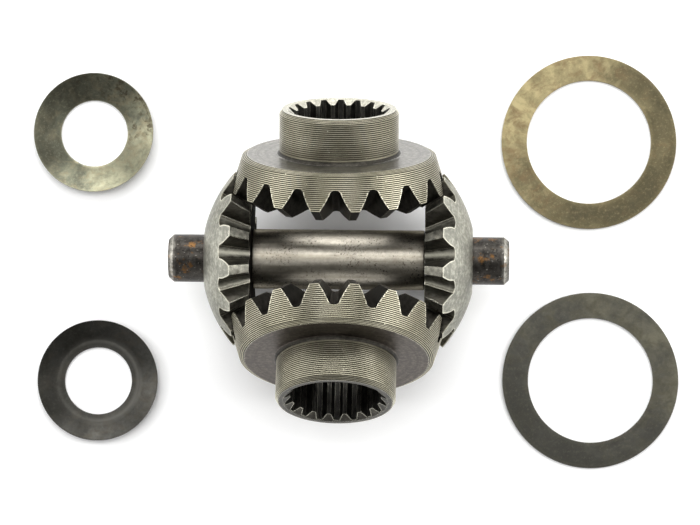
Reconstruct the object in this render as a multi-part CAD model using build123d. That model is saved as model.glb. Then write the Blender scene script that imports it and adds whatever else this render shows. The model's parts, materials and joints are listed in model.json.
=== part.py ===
from build123d import *
import os
from math import acos, asin, atan, cos, pi, radians, sin, sqrt, tan

# Internals of a two-pinion bevel gear differential, laid out loose on a table.
# Row frame: X along the cross pin, Y from side gear to side gear, Z up, origin on the table.
# Lengths are in millimetres. Each gear is drawn about its own Z axis with its cone apex at zero.

os.makedirs("parts", exist_ok=True)

# Tooth system. Cone angles are measured at the apex, from the gear's own axis.
module = 4.0
side_teeth = 17
pinion_teeth = 14
pressure_angle = radians(27)
side_addendum = 1.05 * module
pinion_addendum = 0.39 * module
tip_clearance = 0.20 * module
backlash = 0.20                 # taken off each tooth, measured along the pitch circle
thickness_shift = 1.45          # moved from each pinion tooth to each side gear tooth
root_round = radians(1.0)       # height of the rounded tooth root, as a cone angle
flank_points = 6
tooth_blank_margin = 2.0        # teeth are drawn this far past the blank, then cut to it

side_pitch_cone = atan(side_teeth / pinion_teeth)
pinion_pitch_cone = pi / 2 - side_pitch_cone
cone_distance = module / 2 * sqrt(side_teeth**2 + pinion_teeth**2)

# Side gears: a toothed rim, a flat back and a splined hub.
side_heel_radius = 35.8         # over the tooth tips
side_toe_root_distance = 32.2   # from the apex to the toe, at the root of each tooth
side_toe_tip_distance = 35.5    # and at its tip
side_heel_taper = radians(17.2)
side_back_height = 36.0
side_rim_bevel = (1.7, 0.8)     # radial, axial
hub_radius = 19.9
hub_end_height = 51.1
hub_root_fillet = 1.2
hub_end_chamfer = (0.9, 1.3)    # radial, axial
spline_teeth = 18
spline_minor_radius = 15.0
spline_major_radius = 17.0
spline_mouth_radius = 17.4
spline_mouth_depth = 1.8
spline_slot_share = 0.74        # of the pitch that a slot takes at the minor radius
spline_floor_share = 0.30       # of the pitch that a slot takes at the major radius

# Pinions: spherical backs that run on the dished washers, and flat toes against the spacer.
pinion_back_radius = 44.1
pinion_flat_radius = 10.7
pinion_toe_height = 26.9
bore_chamfer = 0.8

# Cross pin and the spacer sleeve between the pinions.
pin_radius = 8.0
pin_length = 114.0
pin_chamfer = 1.6
running_clearance = 0.05        # radial, of the pinions and the sleeve on the pin
sleeve_radius = 10.0
sleeve_chamfer = 0.4
sleeve_end_gap = 0.2

# Thrust washers.
flat_washer_radius = 30.0
flat_washer_bore = 21.3
flat_washer_thickness = 1.2
dished_washer_radius = 20.6
dished_washer_bore = 11.5
dished_washer_thickness = 1.0
lip_width = 2.4                 # flattened lip round the bore of the more worn dished washer

# How the loose set lies. The side gears lean up from the table about the pin's axis, and every
# gear stands a little out of full mesh.
side_gear_lean = 90 - 2.75 * 360 / pinion_teeth
side_play = 0.5
pinion_play = 2.0
# Washer centres, from the middle of the cross pin.
upper_left_place = (-86.0, 45.5)
lower_left_place = (-83.0, -40.0)
upper_right_place = (84.5, 44.0)
lower_right_place = (85.5, -38.0)

# The origin is under the middle of the whole layout.
left_edge = upper_left_place[0] - dished_washer_radius
right_edge = lower_right_place[0] + flat_washer_radius
far_edge = upper_right_place[1] + flat_washer_radius
near_edge = lower_right_place[1] - flat_washer_radius
set_x = -(left_edge + right_edge) / 2
set_y = -(far_edge + near_edge) / 2


def cone_of(height_above_pitch, pitch_cone):
    """Cone angle of a circle that lies a distance outside the pitch cone, at the heel."""
    return pitch_cone + atan(height_above_pitch / cone_distance)


def involute_turn(cone, base_cone):
    """Turn about the axis from the foot of a spherical involute up to a cone angle."""
    if cone <= base_cone:
        return 0.0
    return acos(cos(cone) / cos(base_cone)) / sin(base_cone) - acos(tan(base_cone) / tan(cone))


def cone_point(cone, turn, height):
    """Point of a plane across the axis, at a cone angle and a turn about the axis."""
    radius = height * tan(cone)
    return Vector(radius * cos(turn), radius * sin(turn), height)


def toothed_wire(teeth, pitch_cone, root_cone, tip_cone, thickness, first_gap, height):
    """Outline of all the teeth in the plane at a height, with one gap centred on first_gap."""
    base_cone = asin(sin(pitch_cone) * cos(pressure_angle))
    foot_cone = root_cone + root_round
    start_cone = max(foot_cone, base_cone)
    outer_cone = tip_cone + root_round
    pitch_radius = cone_distance * sin(pitch_cone)
    pitch_half = thickness / 2 / pitch_radius + involute_turn(pitch_cone, base_cone)
    steps = [start_cone + (outer_cone - start_cone) * i / flank_points for i in range(flank_points + 1)]
    edges = []
    for tooth in range(teeth):
        middle = first_gap + (tooth + 0.5) * 2 * pi / teeth
        gap_before = middle - pi / teeth

        def flank(side):
            return [cone_point(c, middle + side * (pitch_half - involute_turn(c, base_cone)), height)
                    for c in steps]

        rising, falling = flank(-1), flank(1)
        last_falling = middle - 2 * pi / teeth + pitch_half
        foot_left = cone_point(foot_cone, last_falling - involute_turn(foot_cone, base_cone), height)
        foot_right = cone_point(foot_cone, middle - pitch_half + involute_turn(foot_cone, base_cone), height)
        edges.append(Edge.make_three_point_arc(foot_left, cone_point(root_cone, gap_before, height), foot_right))
        if start_cone > foot_cone:
            edges.append(Edge.make_line(foot_right, rising[0]))
        edges.append(Edge.make_spline(rising))
        edges.append(Edge.make_three_point_arc(rising[-1], cone_point(outer_cone, middle, height), falling[-1]))
        edges.append(Edge.make_spline(falling[::-1]))
        if start_cone > foot_cone:
            foot_after = cone_point(foot_cone, middle + pitch_half, height)
            edges.append(Edge.make_line(falling[0], foot_after))
    return Wire(edges)


def toothed_cone(low, high, *tooth_form):
    """Solid of straight lines through the apex, that carries every tooth between two heights."""
    return Solid.make_loft([toothed_wire(*tooth_form, height) for height in (low, high)], ruled=True)


def revolved(*outline_edges):
    """Solid of revolution about Z from edges that close an outline in the XZ plane."""
    with BuildPart() as turned:
        with BuildSketch(Plane.XZ):
            with BuildLine():
                for edge in outline_edges:
                    add(edge)
            make_face()
        revolve(axis=Axis.Z)
    return turned.part


def chain(*points):
    """Straight edges from point to point, closed, in the XZ plane's own coordinates."""
    return Polyline(*points, close=True)


def splined_bore(low, high):
    """Cutter for the splined bore of a hub, with a countersunk mouth at the hub's end."""
    pitch = 2 * pi / spline_teeth
    edges = []

    def rim(radius, turn):
        return Vector(radius * cos(turn), radius * sin(turn))

    for slot in range(spline_teeth):
        middle = slot * pitch - pi / 2
        mouth_half = spline_slot_share * pitch / 2
        floor_half = spline_floor_share * pitch / 2
        corners = [rim(spline_minor_radius, middle - mouth_half), rim(spline_major_radius, middle - floor_half),
                   rim(spline_major_radius, middle + floor_half), rim(spline_minor_radius, middle + mouth_half)]
        edges.append(Edge.make_line(corners[0], corners[1]))
        edges.append(Edge.make_line(corners[1], corners[2]))
        edges.append(Edge.make_line(corners[2], corners[3]))
        land_middle = rim(spline_minor_radius, middle + pitch / 2)
        next_slot = rim(spline_minor_radius, middle + pitch - mouth_half)
        edges.append(Edge.make_three_point_arc(corners[3], land_middle, next_slot))
    outline = Face(Wire(edges)).moved(Location((0, 0, low)))
    slots = extrude(outline, amount=high - low, dir=(0, 0, 1))
    mouth = Pos(0, 0, high - spline_mouth_depth) * Cone(
        spline_minor_radius, spline_mouth_radius, spline_mouth_depth,
        align=(Align.CENTER, Align.CENTER, Align.MIN))
    return slots + mouth


def make_side_gear():
    """Side gear about Z: teeth face the apex, the splined hub points to +Z."""
    tip_cone = cone_of(side_addendum, side_pitch_cone)
    root_cone = cone_of(-pinion_addendum - tip_clearance, side_pitch_cone)
    toe_tip = (side_toe_tip_distance * sin(tip_cone), side_toe_tip_distance * cos(tip_cone))
    toe_root = (side_toe_root_distance * sin(root_cone), side_toe_root_distance * cos(root_cone))
    heel_height = side_heel_radius / tan(tip_cone)
    bevel_height = side_back_height - side_rim_bevel[1]
    rim_radius = side_heel_radius - (bevel_height - heel_height) * tan(side_heel_taper)
    blank = revolved(chain(
        (0, toe_root[1]), toe_root, toe_tip,
        (side_heel_radius, heel_height),
        (rim_radius, bevel_height),
        (rim_radius - side_rim_bevel[0], side_back_height),
        (hub_radius, side_back_height),
        (hub_radius, hub_end_height - hub_end_chamfer[1]),
        (hub_radius - hub_end_chamfer[0], hub_end_height),
        (0, hub_end_height)))
    corner = [e for e in blank.edges().filter_by(GeomType.CIRCLE)
              if abs(e.radius - hub_radius) < 0.01 and abs(e.center().Z - side_back_height) < 0.01]
    blank = fillet(corner, hub_root_fillet)
    thickness = pi * module / 2 - backlash / 2 + thickness_shift
    low, high = toe_tip[1] - tooth_blank_margin, side_back_height + tooth_blank_margin
    teeth = toothed_cone(low, high, side_teeth, side_pitch_cone, root_cone, tip_cone, thickness, -pi / 2)
    hub_core = Pos(0, 0, side_back_height) * Cylinder(
        hub_radius + hub_root_fillet, hub_end_height - side_back_height + tooth_blank_margin,
        align=(Align.CENTER, Align.CENTER, Align.MIN))
    toothed = blank & (teeth + hub_core)
    return toothed - splined_bore(toe_root[1] - tooth_blank_margin, hub_end_height)


def make_pinion():
    """Pinion about Z: teeth face the apex, the spherical back points to +Z."""
    tip_cone = cone_of(pinion_addendum, pinion_pitch_cone)
    root_cone = cone_of(-side_addendum - tip_clearance, pinion_pitch_cone)
    toe_tip = (pinion_toe_height * tan(tip_cone), pinion_toe_height)
    heel_tip = (pinion_back_radius * sin(tip_cone), pinion_back_radius * cos(tip_cone))
    flat_height = sqrt(pinion_back_radius**2 - pinion_flat_radius**2)
    mid_turn = (tip_cone + asin(pinion_flat_radius / pinion_back_radius)) / 2
    back_middle = (pinion_back_radius * sin(mid_turn), pinion_back_radius * cos(mid_turn))
    front = Polyline((0, flat_height), (0, pinion_toe_height), toe_tip, heel_tip)
    back = ThreePointArc(heel_tip, back_middle, (pinion_flat_radius, flat_height))
    blank = revolved(front, back, Line((pinion_flat_radius, flat_height), (0, flat_height)))
    thickness = pi * module / 2 - backlash / 2 - thickness_shift
    low, high = pinion_toe_height - tooth_blank_margin, flat_height + tooth_blank_margin
    teeth = toothed_cone(low, high, pinion_teeth, pinion_pitch_cone, root_cone, tip_cone, thickness, pi)
    bore_radius = pin_radius + running_clearance
    bore = revolved(chain(
        (0, pinion_toe_height), (bore_radius + bore_chamfer, pinion_toe_height),
        (bore_radius, pinion_toe_height + bore_chamfer), (bore_radius, flat_height - bore_chamfer),
        (bore_radius + bore_chamfer, flat_height), (0, flat_height)))
    return (blank & teeth) - bore


def make_cross_pin():
    """Plain ground pin along X, chamfered at both ends."""
    pin = Rot(0, 90, 0) * Cylinder(pin_radius, pin_length)
    return chamfer(pin.edges().filter_by(GeomType.CIRCLE), pin_chamfer)


def make_spacer_sleeve():
    """Sleeve on the pin that keeps the pinions apart."""
    length = 2 * (pinion_toe_height + pinion_play - sleeve_end_gap)
    sleeve = chamfer(Cylinder(sleeve_radius, length).edges().filter_by(GeomType.CIRCLE), sleeve_chamfer)
    return Rot(0, 90, 0) * (sleeve - Cylinder(pin_radius + running_clearance, length))


def make_flat_washer():
    """Flat thrust washer that lies on the table."""
    half = flat_washer_thickness / 2
    ring = Cylinder(flat_washer_radius, flat_washer_thickness) - Cylinder(flat_washer_bore, flat_washer_thickness)
    return Pos(0, 0, half) * ring


def make_dished_washer(lip):
    """Spherical thrust washer that lies on its bore's edge, open side up, with an optional flat lip."""
    inner_ball = pinion_back_radius
    outer_ball = inner_ball + dished_washer_thickness
    start = dished_washer_bore + lip

    def on_ball(ball, radius):
        return ball - sqrt(ball**2 - radius**2)

    rest = on_ball(outer_ball, start)
    middle = (start + dished_washer_radius) / 2
    thickness = dished_washer_thickness

    def arc(ball, lift):
        ends = [(r, on_ball(ball, r) - rest + lift) for r in (start, middle, dished_washer_radius)]
        return ThreePointArc(*ends), ends[0], ends[-1]

    lower, lower_start, lower_end = arc(outer_ball, 0)
    upper, upper_start, upper_end = arc(inner_ball, thickness)
    if lip:
        inner = Polyline(upper_start, (dished_washer_bore, thickness), (dished_washer_bore, 0), lower_start)
    else:
        inner = Line(upper_start, lower_start)
    return revolved(lower, Line(lower_end, upper_end), upper, inner)


def write(name, shape, colour):
    """Writes one node as a STEP file."""
    solid = shape.solids()[0] if len(shape.solids()) == 1 else shape
    solid.label = name
    solid.color = Color(*colour)
    export_step(solid, f"parts/{name}.step")


side_gear = Pos(0, 0, side_play) * make_side_gear()
pinion = Pos(0, 0, pinion_play) * make_pinion()
right_pinion = Rot(0, 90, 0) * pinion
pin_height = -right_pinion.bounding_box().min.Z
set_place = Pos(set_x, set_y, pin_height)
half_turn = Rot(0, 0, 180)
far_gear = Rot(side_gear_lean - 90, 0, 0) * side_gear

steel = (0.42, 0.41, 0.37)
dark_steel = (0.20, 0.19, 0.17)
tan_steel = (0.50, 0.46, 0.38)

write("upper_side_gear", set_place * far_gear, steel)
write("lower_side_gear", set_place * half_turn * far_gear, steel)
write("right_pinion", set_place * right_pinion, steel)
write("left_pinion", set_place * half_turn * right_pinion, steel)
write("cross_pin", set_place * make_cross_pin(), dark_steel)
write("spacer_sleeve", set_place * make_spacer_sleeve(), steel)


def laid(place, washer):
    """A washer on the table at its place beside the gears."""
    return Pos(set_x + place[0], set_y + place[1], 0) * washer


write("upper_left_dished_washer", laid(upper_left_place, make_dished_washer(0)), tan_steel)
write("lower_left_dished_washer", laid(lower_left_place, make_dished_washer(lip_width)), dark_steel)
write("upper_right_flat_washer", laid(upper_right_place, make_flat_washer()), tan_steel)
write("lower_right_flat_washer", laid(lower_right_place, make_flat_washer()), dark_steel)
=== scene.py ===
import json
import math

import bmesh
import bpy
from mathutils import Matrix, Vector


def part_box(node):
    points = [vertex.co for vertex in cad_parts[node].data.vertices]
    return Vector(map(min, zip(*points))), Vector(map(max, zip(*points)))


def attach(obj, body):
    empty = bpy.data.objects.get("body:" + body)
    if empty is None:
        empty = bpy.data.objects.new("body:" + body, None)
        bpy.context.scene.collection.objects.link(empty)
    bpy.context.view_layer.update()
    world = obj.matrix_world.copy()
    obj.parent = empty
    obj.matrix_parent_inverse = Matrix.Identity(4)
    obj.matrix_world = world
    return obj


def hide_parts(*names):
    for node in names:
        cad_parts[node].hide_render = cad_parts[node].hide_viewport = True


# A loose differential gear set on a white table, seen from above. Lengths are in metres.
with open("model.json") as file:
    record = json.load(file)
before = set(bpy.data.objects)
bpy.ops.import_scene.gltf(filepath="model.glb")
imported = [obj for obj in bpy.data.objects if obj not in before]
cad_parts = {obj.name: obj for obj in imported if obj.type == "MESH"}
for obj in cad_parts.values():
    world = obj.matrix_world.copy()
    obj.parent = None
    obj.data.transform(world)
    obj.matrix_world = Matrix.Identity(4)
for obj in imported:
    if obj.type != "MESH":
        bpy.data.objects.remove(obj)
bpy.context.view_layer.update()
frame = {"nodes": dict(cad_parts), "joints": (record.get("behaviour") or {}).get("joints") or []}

MM = 0.001

# Sizes that the looks share with the CAD solids.
SIDE_PLAY = 0.5 * MM
HEEL_TIP = (35.8 * MM, 24.15 * MM)          # radius and height of the side gear's tooth tips
HEEL_TAPER = math.radians(17.2)
BACK_HEIGHT = 36.0 * MM
RIM_BEVEL_HEIGHT = 35.2 * MM
RIM_BEVEL_INSET = 1.7 * MM
HUB_RADIUS = 19.9 * MM
HUB_END_HEIGHT = 51.1 * MM
HUB_END_CHAMFER = (0.9 * MM, 1.3 * MM)      # radial, axial
HUB_FILLET = 1.2 * MM
SPLINE_MAJOR = 17.0 * MM
PINION_BACK_RADIUS = 44.1 * MM
PINION_PLAY = 2.0 * MM
PINION_TIP_CONE = math.radians(41.49)       # of the tooth tops
PINION_ROOT_CONE = math.radians(33.4)       # just above the tooth roots
DISHED_THICKNESS = 1.0 * MM
DISHED_WASHER_BORE = 11.5 * MM
FLAT_WASHER_BORE = 21.3 * MM
SLEEVE_BORE = 8.05 * MM

# Turned grooves on the side gears.
HEEL_PITCH = 0.65 * MM
HUB_PITCH = 0.70 * MM
RIM_PITCH = 0.60 * MM
CHAMFER_PITCH = 0.52 * MM
GROOVE_DEPTH = 0.15 * MM
SKIN = 0.04 * MM                            # turned away from the CAD surface, so that no facet shows
GROOVE_SHAPE = ((0.0, 0.0), (0.38, 0.0), (0.54, 1.0), (0.84, 1.0))   # shares of pitch and depth

# How finely round parts are divided, and the sharpest turn that is shaded smooth.
LATHE_STEPS = 256
WASHER_STEPS = 192
PIN_STEPS = 128
GEAR_SMOOTH_ANGLE = math.radians(25)
LATHED_SMOOTH_ANGLE = math.radians(40)

# Sorting of a side gear's faces: how far a normal turns round the axis, and depth below the heel.
HEEL_AROUND = 0.35
FLANK_AROUND = 0.45
HEEL_REACH = 0.4 * MM

# Light and camera. The turns are towards the near side, to the side and about the line of sight.
SOFTBOX_AIM = Vector((0, 0, 0.03))
CAMERA_AIM_FROM_PIN = Vector((3.72, -0.95, 0)) * MM
CAMERA_TURNS = (5.21, 1.78, 0.73)
CAMERA_DISTANCE = 1.147
CAMERA_LENS = 175.9


# ---------------------------------------------------------------- geometry helpers

def axis_space(origin, axis):
    """Matrix from the row frame to a frame whose Z runs along the axis and whose origin is given."""
    turn = Vector(axis).normalized().to_track_quat("Z", "Y").to_matrix().to_4x4()
    return (Matrix.Translation(origin) @ turn).inverted()


def joint(name):
    return next(j for j in frame["joints"] if j["name"] == name)


def welded_copy(node, name):
    """A new object with a closed, welded copy of a CAD node's mesh."""
    mesh = frame["nodes"][node].data.copy()
    mesh.name = name
    mesh.materials.clear()
    bm = bmesh.new()
    bm.from_mesh(mesh)
    bmesh.ops.remove_doubles(bm, verts=bm.verts, dist=1e-6)
    bmesh.ops.recalc_face_normals(bm, faces=bm.faces)
    bm.to_mesh(mesh)
    bm.free()
    for layer in list(mesh.uv_layers):
        mesh.uv_layers.remove(layer)
    piece = bpy.data.objects.new(name, mesh)
    bpy.context.collection.objects.link(piece)
    return piece


def lathe(name, outline, to_space, steps=LATHE_STEPS):
    """A closed ring-shaped solid: an outline of (radius, height) points turned about an axis."""
    bm = bmesh.new()
    back = to_space.inverted()
    rings = []
    for step in range(steps):
        turn = 2 * math.pi * step / steps
        c, s = math.cos(turn), math.sin(turn)
        rings.append([bm.verts.new(back @ Vector((r * c, r * s, h))) for r, h in outline])
    for step in range(steps):
        a, b = rings[step], rings[(step + 1) % steps]
        for i in range(len(outline)):
            j = (i + 1) % len(outline)
            bm.faces.new((a[i], b[i], b[j], a[j]))
    bmesh.ops.recalc_face_normals(bm, faces=bm.faces)
    mesh = bpy.data.meshes.new(name)
    bm.to_mesh(mesh)
    bm.free()
    piece = bpy.data.objects.new(name, mesh)
    bpy.context.collection.objects.link(piece)
    return piece


def grooves(start, end, pitch):
    """Points of a V-grooved line from start to end; the grooves go to the left of the direction."""
    (r0, h0), (r1, h1) = start, end
    length = math.hypot(r1 - r0, h1 - h0)
    count = max(1, round(length / pitch))
    ur, uh = (r1 - r0) / length, (h1 - h0) / length
    step = length / count
    points = []
    for i in range(count):
        for share, depth in GROOVE_SHAPE:
            along = (i + share) * step
            inward = depth * GROOVE_DEPTH
            points.append((r0 + ur * along - uh * inward, h0 + uh * along + ur * inward))
    points.append((r1, h1))
    return points


def soften(piece, angle):
    """Smooth shading, with the sharp edges kept."""
    bm = bmesh.new()
    bm.from_mesh(piece.data)
    for edge in bm.edges:
        edge.smooth = len(edge.link_faces) == 2 and edge.calc_face_angle(0) < angle
    for face in bm.faces:
        face.smooth = True
    bm.to_mesh(piece.data)
    bm.free()
    weighted = piece.modifiers.new("weighted normals", "WEIGHTED_NORMAL")
    weighted.keep_sharp = True


def cut_with(piece, tool, operation):
    """Applies a boolean and throws the tool away."""
    modifier = piece.modifiers.new("cut", "BOOLEAN")
    modifier.object = tool
    modifier.operation = operation
    modifier.solver = "MANIFOLD"
    graph = bpy.context.evaluated_depsgraph_get()
    mesh = bpy.data.meshes.new_from_object(piece.evaluated_get(graph))
    piece.modifiers.clear()
    old = piece.data
    piece.data = mesh
    bpy.data.meshes.remove(old)
    bpy.data.objects.remove(tool)


def store_turned_place(piece, to_space):
    """Keeps each point's place in the part's own turning frame, for the materials to read."""
    mesh = piece.data
    layer = mesh.attributes.new("turned", "FLOAT_VECTOR", "POINT")
    for vertex, item in zip(mesh.vertices, layer.data):
        item.vector = (to_space @ vertex.co) / MM


def store_value(piece, name, values):
    layer = piece.data.attributes.new(name, "FLOAT", "POINT")
    layer.data.foreach_set("value", values)


def assign(piece, materials, chooser):
    """Gives each face the material that the chooser names, from its middle and normal."""
    names = list(materials)
    piece.data.materials.clear()
    for name in names:
        piece.data.materials.append(materials[name])
    for face in piece.data.polygons:
        face.material_index = names.index(chooser(face.center, face.normal))


# ---------------------------------------------------------------- materials

def shade(colour, factor):
    """The colour made darker or lighter."""
    return tuple(min(1, channel * factor) for channel in colour)


class Nodes:
    """Short names for building the node tree of a metal."""

    def __init__(self, name):
        self.material = bpy.data.materials.new(name)
        self.material.use_nodes = True
        self.tree = self.material.node_tree
        self.bsdf = self.tree.nodes["Principled BSDF"]
        self.bsdf.inputs["Metallic"].default_value = 1.0

    def add(self, kind, inputs=None, **properties):
        node = self.tree.nodes.new(kind)
        for key, value in properties.items():
            setattr(node, key, value)
        for key, value in (inputs or {}).items():
            node.inputs[key].default_value = value
        return node

    def link(self, source, target):
        self.tree.links.new(source, target)

    def attribute(self, name):
        return self.add("ShaderNodeAttribute", attribute_name=name)

    def place(self, scale=(1, 1, 1)):
        """The part's own turning coordinates in millimetres, scaled."""
        mapping = self.add("ShaderNodeMapping", {"Scale": scale})
        self.link(self.attribute("turned").outputs["Vector"], mapping.inputs["Vector"])
        return mapping.outputs["Vector"]

    def place_parts(self):
        """The X, Y and Z of the part's own coordinates in millimetres."""
        split = self.add("ShaderNodeSeparateXYZ")
        self.link(self.place(), split.inputs[0])
        return split.outputs

    def noise(self, vector, scale, detail, roughness, distortion=0.0):
        node = self.add("ShaderNodeTexNoise", {"Scale": scale, "Detail": detail, "Roughness": roughness,
                                               "Distortion": distortion})
        self.link(vector, node.inputs["Vector"])
        return node.outputs["Fac"]

    def ramp(self, value, low, high, out_low=0.0, out_high=1.0):
        """Remaps a value from one range to another, clamped."""
        node = self.add("ShaderNodeMapRange", {"From Min": low, "From Max": high,
                                               "To Min": out_low, "To Max": out_high})
        self.link(value, node.inputs["Value"])
        return node.outputs["Result"]

    def math(self, operation, a, b=None):
        node = self.add("ShaderNodeMath", operation=operation)
        for socket, value in zip(node.inputs, (a, b)):
            if value is None:
                continue
            if isinstance(value, (int, float)):
                socket.default_value = value
            else:
                self.link(value, socket)
        return node.outputs[0]

    def plus(self, a, b):
        return self.math("ADD", a, b)

    def times(self, a, b):
        return self.math("MULTIPLY", a, b)

    def mix(self, factor, a, b):
        """Mixes two colours, each a socket or a plain (r, g, b)."""
        node = self.add("ShaderNodeMix", data_type="RGBA")
        self.link(factor, node.inputs["Factor"])
        colour_inputs = [s for s in node.inputs if s.type == "RGBA"]
        for socket, value in zip(colour_inputs, (a, b)):
            if isinstance(value, tuple):
                socket.default_value = (*value, 1)
            else:
                self.link(value, socket)
        return next(s for s in node.outputs if s.type == "RGBA")

    def edges(self, radius, low, high):
        """1 along sharp edges within a radius, 0 elsewhere. Low and high are cosines of the turn."""
        bevel = self.add("ShaderNodeBevel", {"Radius": radius}, samples=6)
        geometry = self.add("ShaderNodeNewGeometry")
        dot = self.add("ShaderNodeVectorMath", operation="DOT_PRODUCT")
        self.link(bevel.outputs["Normal"], dot.inputs[0])
        self.link(geometry.outputs["Normal"], dot.inputs[1])
        return self.ramp(dot.outputs["Value"], low, high)

    def bump(self, height, strength, distance):
        node = self.add("ShaderNodeBump", {"Strength": strength, "Distance": distance})
        self.link(height, node.inputs["Height"])
        self.link(node.outputs["Normal"], self.bsdf.inputs["Normal"])

    def finish(self, colour, roughness):
        self.link(colour, self.bsdf.inputs["Base Color"])
        self.link(roughness, self.bsdf.inputs["Roughness"])
        return self.material


def axis_distance(n):
    """Distance from the part's axis and height along it, in millimetres."""
    x, y, z = n.place_parts()
    return n.math("SQRT", n.plus(n.times(x, x), n.times(y, y))), z


def rings_of(n, per_mm):
    """Fine concentric turning marks: noise that varies with height and radius but not round the axis."""
    join = n.add("ShaderNodeCombineXYZ")
    radius, height = axis_distance(n)
    n.link(radius, join.inputs["X"])
    n.link(height, join.inputs["Y"])
    return n.noise(join.outputs[0], per_mm, 3, 0.7)


def turned_steel():
    """Grooved steel: bright crests, valleys darkened with painted shade, painted shade at the foot of the
    hub and a few bright nicks.
    """
    n = Nodes("turned steel")
    stain = n.noise(n.place(), 0.09, 5, 0.6)
    grain = n.noise(n.place(), 2.4, 3, 0.6)
    body = n.mix(n.ramp(stain, 0.35, 0.65), (0.34, 0.318, 0.225), (0.52, 0.49, 0.375))
    body = n.mix(n.ramp(grain, 0.40, 0.75, 0.0, 0.45), body, (0.20, 0.185, 0.135))
    # Painted shade: the groove valleys are coloured near-black, deepening the shade that the groove shapes
    # cast.
    valley = n.attribute("groove").outputs["Fac"]
    body = n.mix(n.ramp(valley, 0.10, 0.60, 0.0, 0.95), body, (0.012, 0.010, 0.008))
    nicks = n.ramp(n.noise(n.place(), 1.1, 2, 0.5), 0.71, 0.76, 0.0, 0.8)
    body = n.mix(nicks, body, (0.75, 0.72, 0.58))
    radius, height = axis_distance(n)
    # Painted shade: the hub darkens towards its foot, in the corner where it meets the back face.
    foot = n.times(n.ramp(height, 36.5, 43.0, 0.60, 0.0), n.ramp(radius, 21.0, 21.5, 1.0, 0.0))
    body = n.mix(foot, body, (0.11, 0.10, 0.075))
    worn = n.ramp(n.attribute("rim").outputs["Fac"], 0.30, 0.85, 0.0, 0.9)
    body = n.mix(worn, body, (0.85, 0.82, 0.66))
    n.bump(grain, 0.12, 0.02 * MM)
    return n.finish(body, n.ramp(stain, 0.3, 0.7, 0.32, 0.42))


def faced_steel(name, dark, light, shine, wear=(0.93, 0.80)):
    """Smooth turned face with fine concentric marks, faint stains, grain and worn edges."""
    n = Nodes(name)
    marks = n.times(n.plus(rings_of(n, 3.2), rings_of(n, 1.1)), 0.5)
    stain = n.noise(n.place(), 0.16, 6, 0.68)
    body = n.mix(n.ramp(stain, 0.36, 0.64), dark, light)
    body = n.mix(n.ramp(marks, 0.38, 0.62, 0.0, 0.6), body, shade(dark, 0.6))
    grain = n.noise(n.place(), 0.75, 5, 0.70)
    body = n.mix(n.ramp(grain, 0.34, 0.56, 0.55, 0.0), body, shade(dark, 0.45))
    body = n.mix(n.ramp(grain, 0.52, 0.72, 0.0, 0.40), body, shade(light, 1.6))
    worn = n.times(n.edges(0.85 * MM, *wear), 0.95)
    body = n.mix(worn, body, (0.88, 0.86, 0.72))
    n.bump(n.plus(marks, grain), 0.35, 0.02 * MM)
    return n.finish(body, n.ramp(stain, 0.3, 0.7, *shine))


def flank_steel(name, dark, light, edge_tint, shine=(0.34, 0.52), glare=1.0):
    """Forged tooth flank: dark, oily, streaked, with bright worn edges."""
    n = Nodes(name)
    streaks = n.noise(n.place((1.0, 1.0, 0.35)), 0.9, 5, 0.65)
    grain = n.noise(n.place(), 3.5, 2, 0.6)
    body = n.mix(n.ramp(streaks, 0.35, 0.70), dark, light)
    patchy = n.ramp(n.noise(n.place(), 0.8, 3, 0.6), 0.30, 0.55, 0.45, 1.0)
    worn = n.times(n.edges(0.7 * MM, 0.985, 0.90), patchy)
    body = n.mix(worn, body, edge_tint)
    n.bsdf.inputs["Specular Tint"].default_value = (glare, glare, glare, 1)
    n.bump(grain, 0.25, 0.03 * MM)
    rough = n.math("SUBTRACT", n.ramp(streaks, 0.3, 0.7, *shine), n.times(worn, 0.10))
    return n.finish(body, rough)


def pin_steel():
    """Dark oxidised pin: brown-black, mottled, with rust spots and bright scuffed end edges."""
    n = Nodes("weathered pin steel")
    mottle = n.noise(n.place(), 0.42, 6, 0.65, 0.3)
    body = n.mix(n.ramp(mottle, 0.35, 0.68), (0.024, 0.022, 0.019), (0.080, 0.074, 0.066))
    rust = n.ramp(n.noise(n.place(), 0.33, 5, 0.6), 0.58, 0.67, 0.0, 0.8)
    body = n.mix(rust, body, (0.17, 0.085, 0.028))
    pits = n.ramp(n.noise(n.place(), 1.3, 3, 0.5), 0.62, 0.69, 0.0, 0.9)
    body = n.mix(pits, body, (0.012, 0.011, 0.010))
    flecks = n.ramp(n.noise(n.place((1, 1, 0.6)), 1.9, 3, 0.5), 0.66, 0.72, 0.0, 0.7)
    body = n.mix(flecks, body, (0.38, 0.36, 0.32))
    patchy = n.ramp(n.noise(n.place(), 0.9, 4, 0.6), 0.35, 0.6, 0.25, 1.0)
    body = n.mix(n.times(n.attribute("scuff").outputs["Fac"], patchy), body, (0.55, 0.53, 0.47))
    n.bump(mottle, 0.40, 0.06 * MM)
    return n.finish(body, n.ramp(mottle, 0.3, 0.7, 0.32, 0.50))


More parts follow.
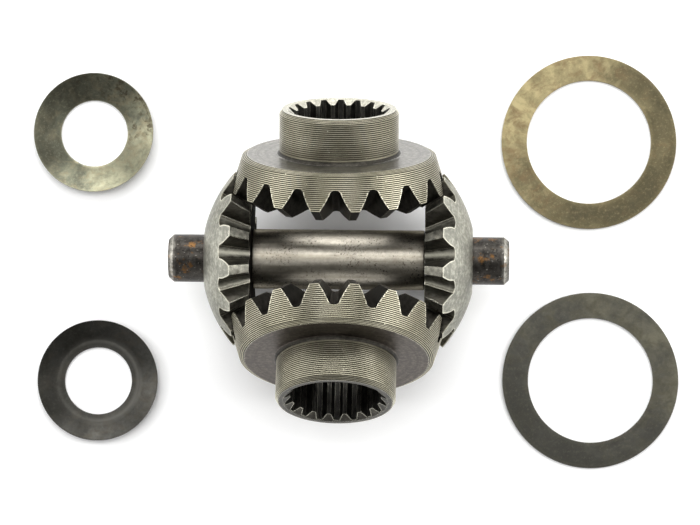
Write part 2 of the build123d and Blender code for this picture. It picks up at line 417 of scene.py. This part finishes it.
def sleeve_steel():
    """Ground sleeve: glossy, with dark stain specks and faint lengthwise scuffs."""
    n = Nodes("ground sleeve steel")
    long_scuff = n.noise(n.place((1.0, 1.0, 0.06)), 0.55, 4, 0.6)
    cloud = n.noise(n.place(), 0.16, 5, 0.65)
    body = n.mix(n.ramp(long_scuff, 0.35, 0.65), (0.38, 0.35, 0.285), (0.64, 0.60, 0.51))
    body = n.mix(n.ramp(cloud, 0.50, 0.80, 0.0, 0.30), body, (0.15, 0.13, 0.105))
    speck = n.times(n.ramp(n.noise(n.place(), 1.5, 3, 0.55), 0.56, 0.64),
                    n.ramp(n.noise(n.place(), 0.14, 2, 0.5), 0.42, 0.60))
    body = n.mix(n.times(speck, 0.8), body, (0.05, 0.035, 0.028))
    n.bsdf.inputs["Specular Tint"].default_value = (0.25, 0.24, 0.22, 1)
    grain = n.noise(n.place((1.0, 1.0, 0.6)), 0.9, 5, 0.7)
    body = n.mix(n.ramp(grain, 0.40, 0.62, 0.0, 0.40), body, (0.24, 0.205, 0.16))
    n.bump(grain, 0.25, 0.03 * MM)
    return n.finish(body, n.ramp(cloud, 0.3, 0.7, 0.33, 0.42))


def towards(n, direction):
    """Grows across the part in the given direction, per millimetre."""
    x, y, _ = n.place_parts()
    return n.plus(n.times(x, direction[0]), n.times(y, direction[1]))


def add_painted_highlight_ring(n, body, tone, patchy, strength):
    """A painted highlight: a soft pale ring round the bore, stronger to the right."""
    radius, _ = axis_distance(n)
    ring = n.times(n.ramp(radius, 12.6, 13.6), n.ramp(radius, 13.8, 15.6, 1.0, 0.0))
    amount = n.ramp(n.plus(patchy, towards(n, (0.02, 0.0))), 0.2, 0.8, 0.1, strength)
    return n.mix(n.times(ring, amount), body, shade(tone, 1.9))


def add_pits(n, body, where):
    """Brown pits, crowded to one side."""
    spots = n.ramp(n.noise(n.place(), 0.55, 4, 0.6, 0.5), 0.50, 0.60)
    crowd = n.ramp(n.plus(n.noise(n.place(), 0.12, 3, 0.6), towards(n, where)), 0.72, 0.95)
    return n.mix(n.times(n.times(spots, crowd), 0.8), body, (0.055, 0.042, 0.026))


def washer_steel(name, tones, tint, blotch_scale, shine, painted_shade_to, pits=None, painted_highlight_ring=None):
    """Sheet steel washer: mottled tones darkened to one side by painted shade, tinted patches, on some a
    painted highlight ring, scratches, pale edges.
    """
    dark, middle, light = tones
    n = Nodes(name)
    # Painted shade: the blotches are darkened across the washer towards one side.
    big = n.math("SUBTRACT", n.noise(n.place(), blotch_scale, 6, 0.66, 0.4), towards(n, painted_shade_to))
    small = n.noise(n.place(), blotch_scale * 5, 6, 0.68, 0.3)
    body = n.mix(n.ramp(big, 0.28, 0.56), dark, middle)
    body = n.mix(n.ramp(big, 0.50, 0.72), body, light)
    body = n.mix(n.ramp(small, 0.40, 0.66, 0.0, 0.55), body, shade(middle, 0.65))
    patch = n.noise(n.place((1.0, 1.4, 1.0)), blotch_scale * 2.6, 5, 0.7, 0.8)
    patch = n.times(n.ramp(patch, 0.48, 0.64, 0.0, 0.6), n.ramp(big, 0.36, 0.56, 0.25, 1.0))
    body = n.mix(patch, body, tint)
    # Painted highlight: a pale ring round the bore, where a rounded lip would catch the light.
    if painted_highlight_ring:
        body = add_painted_highlight_ring(n, body, light, small, painted_highlight_ring)
    if pits:
        body = add_pits(n, body, pits)
    lines = n.noise(n.place((0.6, 0.6, 1.0)), 1.6, 5, 0.75)
    body = n.mix(n.ramp(lines, 0.52, 0.78, 0.0, 0.35), body, shade(light, 1.3))
    body = n.mix(n.times(n.attribute("scuff").outputs["Fac"], 0.45), body, shade(light, 1.5))
    n.bump(small, 0.15, 0.04 * MM)
    return n.finish(body, n.ramp(small, 0.3, 0.7, *shine))


def floor_white():
    """Pale table with a very faint mottle; it glows with painted light, less where something stands close
    over it, which paints shade there.
    """
    n = Nodes("white table")
    n.bsdf.inputs["Metallic"].default_value = 0.0
    n.bsdf.inputs["Emission Color"].default_value = (1, 1, 1, 1)
    # Painted light: the table glows, and glows less where parts stand close over it, a painted shade.
    openness = n.add("ShaderNodeAmbientOcclusion", {"Distance": 0.07}, samples=8)
    n.link(n.ramp(openness.outputs["AO"], 0.45, 0.80, 0.0, 0.34), n.bsdf.inputs["Emission Strength"])
    coordinates = n.add("ShaderNodeTexCoord")
    paper = n.noise(coordinates.outputs["Object"], 40, 3, 0.5)
    body = n.mix(n.ramp(paper, 0.3, 0.7), (0.90, 0.90, 0.90), (0.93, 0.93, 0.93))
    return n.finish(body, n.ramp(paper, 0.3, 0.7, 0.75, 0.85))


# Faces: darker tone, lighter tone, range of roughness.
GROOVED = turned_steel()
UPPER_BACK = faced_steel("upper back steel", (0.20, 0.192, 0.175), (0.34, 0.328, 0.297), (0.32, 0.42))
# The lower gear's back and hub end are darker than the upper gear's: painted shade on the lower gear.
LOWER_BACK = faced_steel("lower back steel, painted shade", (0.068, 0.056, 0.047), (0.135, 0.117, 0.100), (0.34, 0.46))
LOWER_END = faced_steel("lower hub end steel, painted shade", (0.045, 0.042, 0.036), (0.085, 0.08, 0.068), (0.34, 0.44))
# The hub's foot fillet is painted dark: painted shade in the corner between the hub and the back face.
FILLET = faced_steel("hub foot steel, painted shade", (0.035, 0.032, 0.027), (0.075, 0.070, 0.058), (0.45, 0.55))
PINION_BACK = faced_steel("pinion back steel", (0.29, 0.288, 0.245), (0.52, 0.512, 0.435), (0.42, 0.54),
                          wear=(0.99, 0.93))

# Flanks: darker tone, lighter tone, worn edge, range of roughness.
SIDE_FLANK = flank_steel("side gear flank steel", (0.026, 0.024, 0.020), (0.062, 0.057, 0.048),
                         (0.22, 0.21, 0.165))
PINION_FLANK = flank_steel("pinion flank steel", (0.07, 0.066, 0.054), (0.17, 0.16, 0.13),
                           (0.66, 0.64, 0.52))
# The toe face is darker than the pinion's flanks and has little glare: painted shade where it looks in
# towards the sleeve.
TOE_FACE = flank_steel("pinion toe face steel", (0.020, 0.018, 0.015), (0.045, 0.041, 0.034),
                       (0.14, 0.13, 0.10), (0.5, 0.6), glare=0.12)
LAND = flank_steel("worn tooth top steel", (0.30, 0.29, 0.24), (0.66, 0.64, 0.54),
                   (0.90, 0.88, 0.74), (0.30, 0.40))
ROOT = flank_steel("tooth root steel", (0.16, 0.155, 0.125), (0.30, 0.29, 0.24), (0.50, 0.48, 0.40))
BORE = flank_steel("broached bore steel", (0.035, 0.034, 0.030), (0.10, 0.096, 0.085), (0.34, 0.33, 0.28))
PIN = pin_steel()
SLEEVE = sleeve_steel()

# Washers: dark, middle and light tone, tint of the patches, scale of the blotches, roughness, and the
# direction that painted shade darkens them towards.
OLIVE = washer_steel(
    "olive washer steel", ((0.064, 0.062, 0.045), (0.135, 0.138, 0.102), (0.29, 0.285, 0.195)),
    (0.235, 0.20, 0.125), 0.075, (0.34, 0.48), painted_shade_to=(-0.010, 0.008), pits=(0.016, 0.022))
CHARCOAL = washer_steel(
    "charcoal washer steel", ((0.026, 0.025, 0.021), (0.050, 0.049, 0.044), (0.076, 0.074, 0.066)),
    (0.060, 0.053, 0.042), 0.06, (0.36, 0.48), painted_shade_to=(-0.008, 0.005), painted_highlight_ring=0.55)
TAN = washer_steel(
    "tan washer steel", ((0.070, 0.062, 0.038), (0.158, 0.135, 0.076), (0.33, 0.28, 0.150)),
    (0.150, 0.098, 0.052), 0.06, (0.36, 0.48), painted_shade_to=(0.008, -0.005))
GREY = washer_steel(
    "grey washer steel", ((0.050, 0.049, 0.042), (0.072, 0.070, 0.060), (0.118, 0.112, 0.082)),
    (0.072, 0.066, 0.046), 0.05, (0.38, 0.48), painted_shade_to=(-0.004, -0.004))


# ---------------------------------------------------------------- side gears

def heel_radius(height):
    return HEEL_TIP[0] - (height - HEEL_TIP[1]) * math.tan(HEEL_TAPER)


def grooved_envelope():
    """Outline just outside the gear, except where the heel and the hub are grooved."""
    inner, clear = 10 * MM, 0.4 * MM
    below_teeth, start_height = 5 * MM, HEEL_TIP[1] - 0.6 * MM
    heel_foot = heel_radius(start_height)
    rim_height = RIM_BEVEL_HEIGHT - 0.05 * MM
    rim = heel_radius(rim_height)
    hub_start, hub_end = BACK_HEIGHT + HUB_FILLET + 0.3 * MM, HUB_END_HEIGHT - HUB_END_CHAMFER[1]
    end_radius, end_height = HUB_RADIUS - HUB_END_CHAMFER[0], HUB_END_HEIGHT - 0.02 * MM
    outline = [(inner, below_teeth), (heel_foot + clear, below_teeth), (heel_foot + clear, start_height)]
    outline += grooves((heel_foot - SKIN, start_height), (rim - SKIN, rim_height), HEEL_PITCH)
    outline += grooves((rim - SKIN, rim_height), (rim - RIM_BEVEL_INSET, BACK_HEIGHT - SKIN), RIM_PITCH)[1:]
    outline += [(rim - RIM_BEVEL_INSET - 0.3 * MM, BACK_HEIGHT + clear),
                (HUB_RADIUS + HUB_FILLET + clear, BACK_HEIGHT + clear),
                (HUB_RADIUS + 0.2 * MM, hub_start - 0.2 * MM)]
    outline += grooves((HUB_RADIUS - SKIN, hub_start), (HUB_RADIUS - SKIN, hub_end), HUB_PITCH)
    outline += grooves((HUB_RADIUS - SKIN, hub_end), (end_radius, HUB_END_HEIGHT - SKIN), CHAMFER_PITCH)[1:]
    outline += [(end_radius - 0.15 * MM, end_height), (inner, end_height)]
    return outline


def groove_depth(place):
    """0 on a groove's crest, 1 in its valley, from a point in the gear's own frame."""
    radius, height = math.hypot(place.x, place.y), place.z
    hub_end = HUB_END_HEIGHT - HUB_END_CHAMFER[1]
    if height < RIM_BEVEL_HEIGHT:
        below = (heel_radius(height) - radius) * math.cos(HEEL_TAPER)
    elif height < BACK_HEIGHT + SKIN:
        slope = RIM_BEVEL_INSET / (BACK_HEIGHT - RIM_BEVEL_HEIGHT)
        line = heel_radius(RIM_BEVEL_HEIGHT) - (height - RIM_BEVEL_HEIGHT) * slope
        below = (line - radius) / math.hypot(1, slope)
    elif height < hub_end:
        below = HUB_RADIUS - radius
    else:
        slope = HUB_END_CHAMFER[0] / HUB_END_CHAMFER[1]
        below = (HUB_RADIUS - (height - hub_end) * slope - radius) / math.hypot(1, slope)
    return min(1.0, max(0.0, (below - SKIN) / GROOVE_DEPTH))


def round_place(place, facing):
    """Radius of a point, and how far its normal faces outward and round the axis."""
    radius = math.hypot(place.x, place.y)
    outward = (facing.x * place.x + facing.y * place.y) / radius
    around = abs(facing.y * place.x - facing.x * place.y) / radius
    return radius, outward, around


def lies_on_heel(place, radius, around):
    return around < HEEL_AROUND and radius > heel_radius(place.z) - HEEL_REACH


def worn_rims(gear, space):
    """1 at each point where a tooth flank meets the heel, 0 elsewhere."""
    turn = space.to_3x3()
    on_flank, on_heel = set(), set()
    for face in gear.data.polygons:
        place = space @ face.center
        radius, _, around = round_place(place, turn @ face.normal)
        if around > FLANK_AROUND:
            on_flank.update(face.vertices)
        elif lies_on_heel(place, radius, around):
            on_heel.update(face.vertices)
    rims = on_flank & on_heel
    return [float(i in rims) for i in range(len(gear.data.vertices))]


def side_gear_surface(place, facing):
    """Names the surface that a face of a side gear belongs to."""
    radius, outward, around = round_place(place, facing)
    if radius < SPLINE_MAJOR + 0.5 * MM:
        return "end" if facing.z > 0.5 else "bore"
    rim_reach = heel_radius(RIM_BEVEL_HEIGHT) - RIM_BEVEL_INSET - 0.2 * MM
    on_heel = place.z < RIM_BEVEL_HEIGHT and lies_on_heel(place, radius, around)
    on_rim = RIM_BEVEL_HEIGHT <= place.z < BACK_HEIGHT - 0.02 * MM and radius > rim_reach
    on_hub = place.z > BACK_HEIGHT + HUB_FILLET and abs(radius - HUB_RADIUS) < 1.2 * MM and outward > 0.1
    if on_heel or on_hub or on_rim:
        return "grooved"
    if place.z > HUB_END_HEIGHT - 0.5 * MM:
        return "end"
    if place.z > BACK_HEIGHT + 0.15 * MM:
        return "fillet"
    if place.z > RIM_BEVEL_HEIGHT - 0.3 * MM:
        return "back"
    return "flank"


def make_side_gear(node, body, joint_name, back, end):
    spin = joint(joint_name)
    apex = Vector(spin["pos_m"]) + Vector(spin["axis"]) * SIDE_PLAY
    space = axis_space(apex, spin["axis"])
    turn = space.to_3x3()
    gear = welded_copy(node, f"{node}_grooved")
    cut_with(gear, lathe("envelope", grooved_envelope(), space), "INTERSECT")
    looks = {"grooved": GROOVED, "back": back, "fillet": FILLET, "flank": SIDE_FLANK, "bore": BORE,
             "end": end}
    assign(gear, looks, lambda centre, normal: side_gear_surface(space @ centre, turn @ normal))
    store_turned_place(gear, space)
    store_value(gear, "groove", [groove_depth(space @ v.co) for v in gear.data.vertices])
    store_value(gear, "rim", worn_rims(gear, space))
    soften(gear, GEAR_SMOOTH_ANGLE)
    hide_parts(node)
    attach(gear, body)


# ---------------------------------------------------------------- pinions

def make_pinion(node, body, joint_name):
    centre = Vector(joint(joint_name)["pos_m"])
    low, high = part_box(node)
    outward = Vector((math.copysign(1, (low.x + high.x) / 2 - centre.x), 0, 0))
    apex = centre + outward * PINION_PLAY
    space = axis_space(apex, outward)
    pinion = welded_copy(node, f"{node}_finished")

    def surface(middle, normal):
        place = space @ middle
        near_back = place.length > PINION_BACK_RADIUS * 0.96
        if near_back and (middle - apex).normalized().dot(normal) > 0.85:
            return "back"
        if normal.dot(outward) < -0.9:
            return "face"
        cone = math.atan2(math.hypot(place.x, place.y), place.z)
        if abs(cone - PINION_TIP_CONE) < math.radians(0.35):
            return "land"
        return "root" if cone < PINION_ROOT_CONE else "flank"

    looks = {"back": PINION_BACK, "face": TOE_FACE, "flank": PINION_FLANK, "land": LAND, "root": ROOT}
    assign(pinion, looks, surface)
    store_turned_place(pinion, space)
    soften(pinion, GEAR_SMOOTH_ANGLE)
    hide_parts(node)
    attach(pinion, body)


# ---------------------------------------------------------------- pin, sleeve and washers

def lathed_piece(name, node, body, points, space, material, steps=LATHE_STEPS):
    """A turned part from (radius, height, scuff) points; scuff 1 marks where an edge wears bright."""
    outline = [(radius, height) for radius, height, _ in points]
    piece = lathe(name, outline, space, steps)
    store_value(piece, "scuff", [scuff for _, _, scuff in points] * steps)
    store_turned_place(piece, space)
    piece.data.materials.append(material)
    soften(piece, LATHED_SMOOTH_ANGLE)
    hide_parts(node)
    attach(piece, body)


def make_pin():
    low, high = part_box("cross_pin")
    radius, half = (high.z - low.z) / 2, (high.x - low.x) / 2
    chamfer, core, edge = 1.6 * MM, 0.05 * MM, 0.25 * MM
    start = half - chamfer

    def end(side):
        return [(radius, side * (start - 1.2 * MM), 0.0), (radius, side * (start - edge), 0.25),
                (radius - edge * 0.3, side * (start + edge * 0.2), 1.0),
                (radius - chamfer + edge, side * (half - edge * 0.7), 0.15),
                (radius - chamfer, side * half, 0.5), (radius - chamfer - 0.8 * MM, side * half, 0.0),
                (core, side * half, 0.0)]

    middle = [(radius, -half * share, 0.0) for share in (0.8, 0.4, 0.0, -0.4, -0.8)]
    space = axis_space((low + high) / 2, (1, 0, 0))
    lathed_piece("cross_pin_weathered", "cross_pin", "carrier_pin",
                 end(-1)[::-1] + middle + end(1), space, PIN, PIN_STEPS)


def make_sleeve():
    low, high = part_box("spacer_sleeve")
    radius, half = (high.z - low.z) / 2, (high.x - low.x) / 2
    edge = 0.4 * MM
    points = [(SLEEVE_BORE, -half, 0), (radius - edge, -half, 0),
              (radius - edge * 0.3, -half + edge * 0.3, 1), (radius, -half + edge, 0.4)]
    points += [(radius, half * share, 0) for share in (-0.9, -0.5, 0.0, 0.5, 0.9)]
    points += [(radius, half - edge, 0.4), (radius - edge * 0.3, half - edge * 0.3, 1),
               (radius - edge, half, 0), (SLEEVE_BORE, half, 0)]
    space = axis_space((low + high) / 2, (1, 0, 0))
    lathed_piece("spacer_sleeve_ground", "spacer_sleeve", "spacer",
                 points, space, SLEEVE)


def washer_space(node):
    """Matrix to the washer's own frame, with its radius and its height over all."""
    low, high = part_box(node)
    centre = (low + high) / 2
    space = Matrix.Translation((-centre.x, -centre.y, -low.z))
    return space, (high.x - low.x) / 2, high.z - low.z


def rounded_section(profile, edge):
    """Rounds the sharp corners of a closed section of (radius, height, is sharp) points."""
    points = []
    count = len(profile)
    for i, (*corner, sharp) in enumerate(profile):
        here = Vector((*corner, 0))
        before = Vector((*profile[i - 1][:2], 0)) - here
        after = Vector((*profile[(i + 1) % count][:2], 0)) - here
        if sharp:
            a, b = here + before.normalized() * edge, here + after.normalized() * edge
            knee = (a + b + here * 2) / 4
            points += [(a.x, a.y, 0.2), (knee.x, knee.y, 1.0), (b.x, b.y, 0.2)]
        else:
            points.append((here.x, here.y, 0.0))
    return points


def make_washer(node, material, section, space):
    lathed_piece(f"{node}_stained", node, node.replace("_washer", ""), section, space, material,
                 WASHER_STEPS)


def make_flat_washer(node, material):
    space, radius, thickness = washer_space(node)
    bore = FLAT_WASHER_BORE
    rings = 6
    top = [(radius + (bore - radius) * i / rings, thickness, False) for i in range(1, rings)]
    corners = [(bore, 0, True), (radius, 0, True), (radius, thickness, True), *top, (bore, thickness, True)]
    make_washer(node, material, rounded_section(corners, 0.16 * MM), space)


def make_dished_washer(node, material, lip):
    """Part of a ball-shaped shell that opens upward, with a flat lip of the given width round its bore."""
    space, radius, _ = washer_space(node)
    start = DISHED_WASHER_BORE + lip
    outer_ball = PINION_BACK_RADIUS + DISHED_THICKNESS

    def on_ball(ball, at):
        return ball - math.sqrt(ball**2 - at**2)

    rest = on_ball(outer_ball, start)
    rings = 10
    stations = [start + (radius - start) * i / rings for i in range(rings + 1)]
    lower = [(r, on_ball(outer_ball, r) - rest) for r in stations]
    upper = [(r, on_ball(PINION_BACK_RADIUS, r) - rest + DISHED_THICKNESS) for r in stations]
    corners = [(*lower[0], not lip), *[(*p, False) for p in lower[1:-1]], (*lower[-1], True),
               (*upper[-1], True), *[(*p, False) for p in upper[-2:0:-1]], (*upper[0], not lip)]
    if lip:
        corners += [(DISHED_WASHER_BORE, DISHED_THICKNESS, True), (DISHED_WASHER_BORE, 0, True)]
    make_washer(node, material, rounded_section(corners, 0.18 * MM), space)


make_side_gear("upper_side_gear", "upper_side", "upper_side_spin", UPPER_BACK, LAND)
# The lower side gear takes the darker looks for its back and hub end, which are painted shade.
make_side_gear("lower_side_gear", "lower_side", "lower_side_spin", LOWER_BACK, LOWER_END)
make_pinion("left_pinion", "left_spider", "left_pinion_spin")
make_pinion("right_pinion", "right_spider", "right_pinion_spin")
make_pin()
make_sleeve()
make_dished_washer("upper_left_dished_washer", OLIVE, lip=0.0)
make_dished_washer("lower_left_dished_washer", CHARCOAL, lip=2.4 * MM)
make_flat_washer("upper_right_flat_washer", TAN)
make_flat_washer("lower_right_flat_washer", GREY)


# ---------------------------------------------------------------- table, light and camera

def make_floor():
    size = 3.0
    mesh = bpy.data.meshes.new("table")
    corners = [(-size, -size, 0), (size, -size, 0), (size, size, 0), (-size, size, 0)]
    mesh.from_pydata(corners, [], [(0, 1, 2, 3)])
    mesh.materials.append(floor_white())
    table = bpy.data.objects.new("table", mesh)
    bpy.context.collection.objects.link(table)


def softbox(name, place, size, watts):
    """A rectangular lamp that faces the middle of the set."""
    data = bpy.data.lights.new(name, "AREA")
    data.shape = "RECTANGLE"
    data.size, data.size_y = size
    data.energy = watts
    lamp = bpy.data.objects.new(name, data)
    lamp.location = place
    lamp.rotation_euler = (SOFTBOX_AIM - Vector(place)).to_track_quat("-Z", "Y").to_euler()
    bpy.context.collection.objects.link(lamp)


def make_white_room():
    """World light: white walls round the table and a dimmer ceiling."""
    world = bpy.data.worlds.new("studio")
    bpy.context.scene.world = world
    world.use_nodes = True
    tree = world.node_tree
    background = tree.nodes["Background"]
    direction = tree.nodes.new("ShaderNodeTexCoord")
    split = tree.nodes.new("ShaderNodeSeparateXYZ")
    height = tree.nodes.new("ShaderNodeMapRange")
    for key, number in (("From Min", 0.1), ("From Max", 0.75), ("To Min", 1.25), ("To Max", 0.30)):
        height.inputs[key].default_value = number
    tree.links.new(direction.outputs["Generated"], split.inputs[0])
    tree.links.new(split.outputs["Z"], height.inputs["Value"])
    tree.links.new(height.outputs["Result"], background.inputs["Strength"])
    background.inputs["Color"].default_value = (1, 1, 1, 1)


def make_softboxes():
    softbox("left softbox", (-0.85, 0.15, 0.50), (0.4, 0.8), 2.6)
    softbox("right softbox", (0.85, 0.15, 0.50), (0.4, 0.8), 4.2)
    softbox("back softbox", (0.0, 0.85, 0.55), (1.2, 0.4), 7.0)
    softbox("overhead softbox", (0.0, 0.20, 1.25), (1.3, 0.9), 2.4)
    softbox("overhead strip", (0.0, 0.24, 1.20), (0.9, 0.22), 2.4)


def make_camera():
    """Looks nearly straight down, from slightly to the near side, through a long lens."""
    low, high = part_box("cross_pin")
    aim = (low + high) / 2 + CAMERA_AIM_FROM_PIN
    near_tilt, side_tilt, roll = (math.radians(turn) for turn in CAMERA_TURNS)
    turn = Matrix.Rotation(side_tilt, 4, "Y") @ Matrix.Rotation(near_tilt, 4, "X")
    turn = turn @ Matrix.Rotation(roll, 4, "Z")
    data = bpy.data.cameras.new("camera")
    data.lens = CAMERA_LENS
    data.sensor_width = 36
    camera = bpy.data.objects.new("camera", data)
    camera.matrix_world = Matrix.Translation(aim) @ turn @ Matrix.Translation((0, 0, CAMERA_DISTANCE))
    bpy.context.collection.objects.link(camera)
    bpy.context.scene.camera = camera
    bpy.context.scene.view_settings.view_transform = "Standard"


make_floor()
make_white_room()
make_softboxes()
make_camera()
